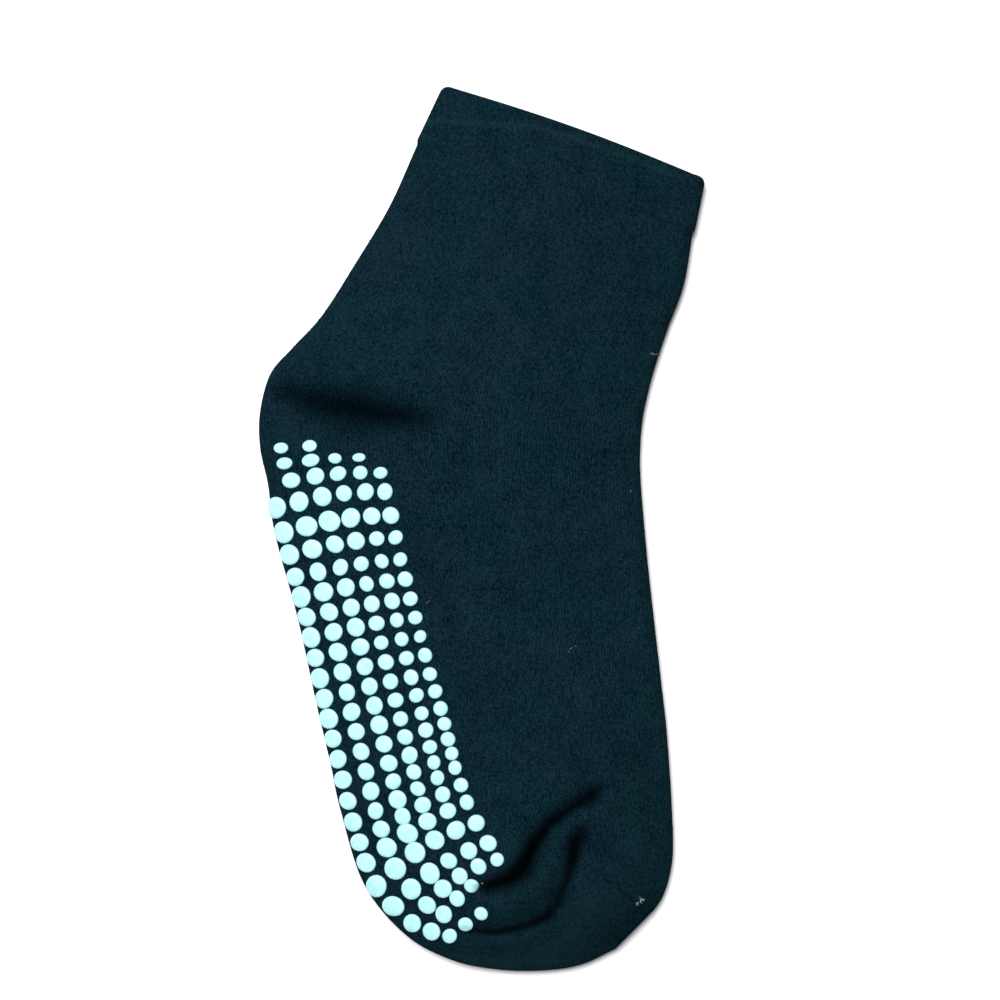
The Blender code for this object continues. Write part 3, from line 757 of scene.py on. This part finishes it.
def build_fuzz(material, skin):
    """Short loose fibres over the skin, most of them along the two folds."""
    rng = np.random.default_rng(FUZZ_SEED)
    rows, wide = skin.shape[:2]
    weight = np.full(wide - 1, 1.0)
    base_start = 2 * FOLD_STEPS + TOP_STEPS + 1
    weight[:FOLD_STEPS + 1] = FIBRE_FOLD_WEIGHT
    weight[FOLD_STEPS + TOP_STEPS:base_start] = FIBRE_FOLD_WEIGHT
    weight[base_start:] = FIBRE_BASE_WEIGHT
    row = rng.integers(1, rows - FIBRE_BARE_ROWS, FIBRES)
    column = rng.choice(wide - 1, FIBRES, p=weight / weight.sum())
    along = skin[row + 1, column] - skin[row - 1, column]
    around = skin[row, (column + 1) % (wide - 1)] - skin[row, column]
    along /= np.linalg.norm(along, axis=1)[:, None]
    around /= np.linalg.norm(around, axis=1)[:, None]
    normal = np.cross(around, along)
    normal /= np.linalg.norm(normal, axis=1)[:, None]
    turn = rng.uniform(0, 2 * math.pi, FIBRES)
    flat = along * np.cos(turn)[:, None] + around * np.sin(turn)[:, None]
    rise = rng.uniform(*FIBRE_RISE, FIBRES)[:, None]
    leans = normal * rise + flat * np.sqrt(1 - rise ** 2)
    spread = rng.uniform(0, 1, (FIBRES, 2))[:, :, None]
    roots = skin[row, column] + along * FIBRE_SCATTER * spread[:, 0]
    roots += around * FIBRE_SCATTER * spread[:, 1]
    roots -= normal * FIBRE_ROOT_DEPTH
    lengths = FIBRE_LENGTH * np.exp(FIBRE_LENGTH_SPREAD * rng.standard_normal(FIBRES))
    lengths = np.minimum(lengths, FIBRE_LONGEST_SHARE * FIBRE_LENGTH)
    bends = np.cross(leans, normal) * rng.choice([-1.0, 1.0], FIBRES)[:, None]
    clear = (roots + leans * lengths[:, None])[:, 2] > FIBRE_CLEARANCE
    return fibre_mesh("knit_fuzz", roots[clear], leans[clear], lengths[clear], FIBRE_RADIUS,
                      bends[clear], material)


# Bits of lint: along, across in millimetres, how many fibres, their length in millimetres.
LINT = (
    (64.1, 64.7, 4, 0.6), (126.3, 70.4, 26, 1.1), (-1.3, 96.0, 5, 0.9), (111.9, 29.5, 3, 0.8),
    (114.5, 34.2, 3, 0.7), (21.0, 24.0, 2, 0.6), (47.0, 33.0, 2, 0.6), (88.0, 13.0, 2, 0.6),
    (30.0, 85.0, 2, 0.5), (-52.0, 70.0, 2, 0.5),
)

# How far a bit's fibres scatter, always and with its length, their thickness and height off
# the skin, their lengths in shares, and how flat they lie.
LINT_SCATTER = 0.0002
LINT_SCATTER_SHARE = 0.12
LINT_RADIUS = 0.00004
LINT_ROOT_HEIGHT = 0.0001
LINT_LENGTHS = (0.5, 1.1)
LINT_FLAT = 0.95
LINT_RISE = 0.3
LINT_BEND_RISE = 0.1
LINT_SEED = 3
LINT_COLOUR = (0.42, 0.52, 0.55, 1.0)


def build_lint(material):
    """Pale bits of lint that cling to the knit."""
    rng = np.random.default_rng(LINT_SEED)
    roots = []
    leans = []
    lengths = []
    bends = []
    for along, across, count, length in LINT:
        centre = np.array([along, across]) / 1000
        scatter = LINT_SCATTER + LINT_SCATTER_SHARE * length / 1000
        for _ in range(count):
            plan = centre + rng.normal(0, scatter, 2)
            roots.append(top_point(plan, LINT_ROOT_HEIGHT))
            turn = rng.uniform(0, 2 * math.pi)
            leans.append((math.cos(turn) * LINT_FLAT, math.sin(turn) * LINT_FLAT, LINT_RISE))
            lengths.append(length / 1000 * rng.uniform(*LINT_LENGTHS))
            bends.append((-math.sin(turn), math.cos(turn), LINT_BEND_RISE))
    return fibre_mesh("lint", np.array(roots), np.array(leans), np.array(lengths), LINT_RADIUS,
                      np.array(bends), material)


# The sections between which a stud's own, or that of a point on top, is searched for, and how
# often the search halves them.
STUD_STATIONS = (6.0, 19.0)
TOP_STATIONS = (0.0, 20.0)
SEARCH_HALVINGS = 24


def station_of(place, low, high):
    """The section whose line from fold to fold passes through a plan point."""
    for _ in range(SEARCH_HALVINGS):
        middle = 0.5 * (low + high)
        at = section_frame(middle)
        span, reach = at["instep"] - at["sole"], place - at["sole"]
        if span[0] * reach[1] - span[1] * reach[0] < 0:
            low = middle
        else:
            high = middle
    return 0.5 * (low + high)


def stud_places():
    """Centre, radius, slant and row of the studs on one side of the sole's fold."""
    table = np.array(STUD_ROWS)
    places = []
    for row in range(int(table[-1, 0]) + 1):
        along, across, slant, spacing, size, bow, first, last = (
            np.interp(row, table[:, 0], table[:, k]) for k in range(1, 9)
        )
        start = np.array([along * FOOT_LENGTH, across * FOOT_WIDTH])
        turn = math.radians(slant)
        step = np.array([-math.sin(turn), math.cos(turn)]) * spacing * STUD_SPACING
        back = np.array([-math.cos(turn), -math.sin(turn)]) * bow * STUD_SPACING
        for column in range(round(first), round(last) + 1):
            bent = back * math.sin(math.pi * column / (len(STUD_COLUMN_STEPS) - 1))
            centre = start + step * STUD_COLUMN_STEPS[column] + bent
            radius = 0.5 * STUD_WIDTH * size * STUD_COLUMN_SHARES[column]
            places.append((centre, radius, turn, row))
    return places


def skin_places(at, plan, side, height):
    """Points at given heights off the skin near the section at, for arrays of plan points.
    side is 1 on top and -1 beneath."""
    sunk = (plan - at["sole"]) @ at["sole_in"] + at["fold"]
    angle = np.minimum(sunk / at["fold"], 1) + 0.5 * math.pi - 1
    centre = plan - (sunk - at["fold"])[:, None] * at["sole_in"]
    reach = at["fold"] + height
    around = centre - at["sole_in"] * (reach * np.cos(angle))[:, None]
    level = floor_lift(at, 0.0) + at["fold"] + side * reach * np.sin(angle)
    span = at["instep"] - at["sole"]
    share = np.maximum((plan - at["sole"]) @ span / (span @ span), 0)
    flat = floor_lift(at, share) + side * height
    if side > 0:
        level += np.where(angle > 0, swell(at, at["fold"] * (1 - np.cos(angle))), 0)
        flat += 2 * at["fold"] + swell(at, from_edge(at, share))
        flat += relief(plan) * edge_fade(at, share)
    on_fold = sunk < at["fold"]
    return np.column_stack([
        np.where(on_fold[:, None], around, plan), np.where(on_fold, level, flat)
    ])


def top_point(place, height):
    """The point at a height over the skin's upper side at a plan point."""
    at = section_frame(station_of(place, *TOP_STATIONS))
    return skin_places(at, place[None], 1, np.array([height]))[0]


# Points round a stud, how far sizes spread, how uneven the rounds are, and the profile of a
# stud: share of its radius, share of its height.
STUD_SEED = 5
STUD_AROUND = 18
STUD_SIZE_SPREAD = 0.05
STUD_LOBES = (0.01, 0.06)
STUD_PROFILE = ((1.0, -0.35), (0.985, 0.35), (0.93, 0.68), (0.80, 0.90), (0.52, 1.0), (0.0, 1.02))


def build_studs(material):
    """Printed studs on both sides of the sole's fold, each a little uneven."""
    rng = np.random.default_rng(STUD_SEED)
    profile = np.array(STUD_PROFILE)
    circle = 2 * math.pi * np.arange(STUD_AROUND) / STUD_AROUND
    points = []
    faces = []
    count = 0
    for side in (1, -1):
        for centre, radius, turn, row in stud_places():
            size = 1 + STUD_SIZE_SPREAD * rng.standard_normal()
            lobe = rng.uniform(*STUD_LOBES)
            phase = rng.uniform(0, 2 * math.pi)
            around = size * (1 + lobe * np.cos(2 * circle + phase))
            along = np.cos(circle) * around * STUD_SQUASH.get(row, 1.0)
            across = np.sin(circle) * around
            plan = np.column_stack([
                along * math.cos(turn) - across * math.sin(turn),
                along * math.sin(turn) + across * math.cos(turn),
            ])
            plan = centre + (radius * profile[:, 0, None, None] * plan).reshape(-1, 2)
            height = np.repeat(STUD_HEIGHT * profile[:, 1], STUD_AROUND)
            at = section_frame(station_of(centre, *STUD_STATIONS))
            points.append(skin_places(at, plan, side, height))
            for ring in range(len(profile) - 1):
                for k in range(STUD_AROUND):
                    a = count + ring * STUD_AROUND + k
                    b = count + ring * STUD_AROUND + (k + 1) % STUD_AROUND
                    quad = (a, b, b + STUD_AROUND, a + STUD_AROUND)
                    faces.append(quad if side > 0 else quad[::-1])
            count += len(plan)
    return mesh_object("grip_studs", place_in_row(np.vstack(points)), faces, material)


# The stage: the floor from its middle to a side, the lights and the sky.
FLOOR_REACH = 2.0
FLOOR_COLOUR = (0.86, 0.86, 0.86, 1.0)
LIGHTS = (
    # name, place, diameter, power
    ("key", (-0.70, -0.20, 1.90), 0.85, 52.0),
    ("fill", (-0.3, -0.2, 1.0), 1.0, 3.0),
)
WORLD_STRENGTH = 0.25

# The camera looks straight down at a middle in the foot's own lengths, turned by ROLL.
LENS = 85.0
SENSOR = 36.0
ROLL = math.radians(10.0)
FRAME_WIDTH = 0.240
FRAME_MIDDLE = np.array([0.0266, 0.0540])
SIGHT_HEIGHT = 0.0032


def build_floor():
    """The plain pale surface that the sock lies on."""
    reach = FLOOR_REACH
    corners = [(-reach, -reach, 0), (reach, -reach, 0), (reach, reach, 0), (-reach, reach, 0)]
    surface = plain_material("floor", FLOOR_COLOUR, 0.9)
    floor = mesh_object("floor", corners, [(0, 1, 2, 3)], surface, smooth=False)


def area_light(name, place, size, power):
    """A round area light that faces the frame's origin."""
    light = bpy.data.lights.new(name, "AREA")
    light.shape = "DISK"
    light.size = size
    light.energy = power
    made = bpy.data.objects.new(name, light)
    made.location = place
    aim = -np.array(place)
    made.rotation_euler = (
        math.atan2(math.hypot(aim[0], aim[1]), -aim[2]), 0.0, math.atan2(-aim[0], aim[1])
    )
    bpy.context.scene.collection.objects.link(made)


def set_world():
    """An even white sky."""
    world = bpy.data.worlds.new("world")
    world.use_nodes = True
    background = world.node_tree.nodes["Background"]
    background.inputs["Color"].default_value = (1, 1, 1, 1)
    background.inputs["Strength"].default_value = WORLD_STRENGTH
    bpy.context.scene.world = world
    bpy.context.scene.view_settings.view_transform = "Standard"


def set_camera():
    """The photo's view from straight above."""
    camera_data = bpy.data.cameras.new("camera")
    camera_data.lens = LENS
    camera_data.sensor_width = SENSOR
    camera_data.dof.use_dof = False
    camera = bpy.data.objects.new("camera", camera_data)
    middle = FRAME_MIDDLE - ORIGIN
    camera.location = (middle[0], middle[1], SIGHT_HEIGHT + FRAME_WIDTH * LENS / SENSOR)
    camera.rotation_euler = (0.0, 0.0, math.pi / 2 - ROLL)
    bpy.context.scene.collection.objects.link(camera)
    bpy.context.scene.camera = camera


knit = knit_material()
grip = print_material()
body, skin_grid = build_body(knit)
studs = build_studs(grip)
fuzz = build_fuzz(fuzz_material(), skin_grid)
lint = build_lint(plain_material("lint", LINT_COLOUR, 0.9))
for piece in (body, studs, fuzz, lint):
    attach(piece, "root")
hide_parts("knit_upper")
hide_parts("grip_sole")

build_floor()
for light_row in LIGHTS:
    area_light(*light_row)
set_world()
set_camera()
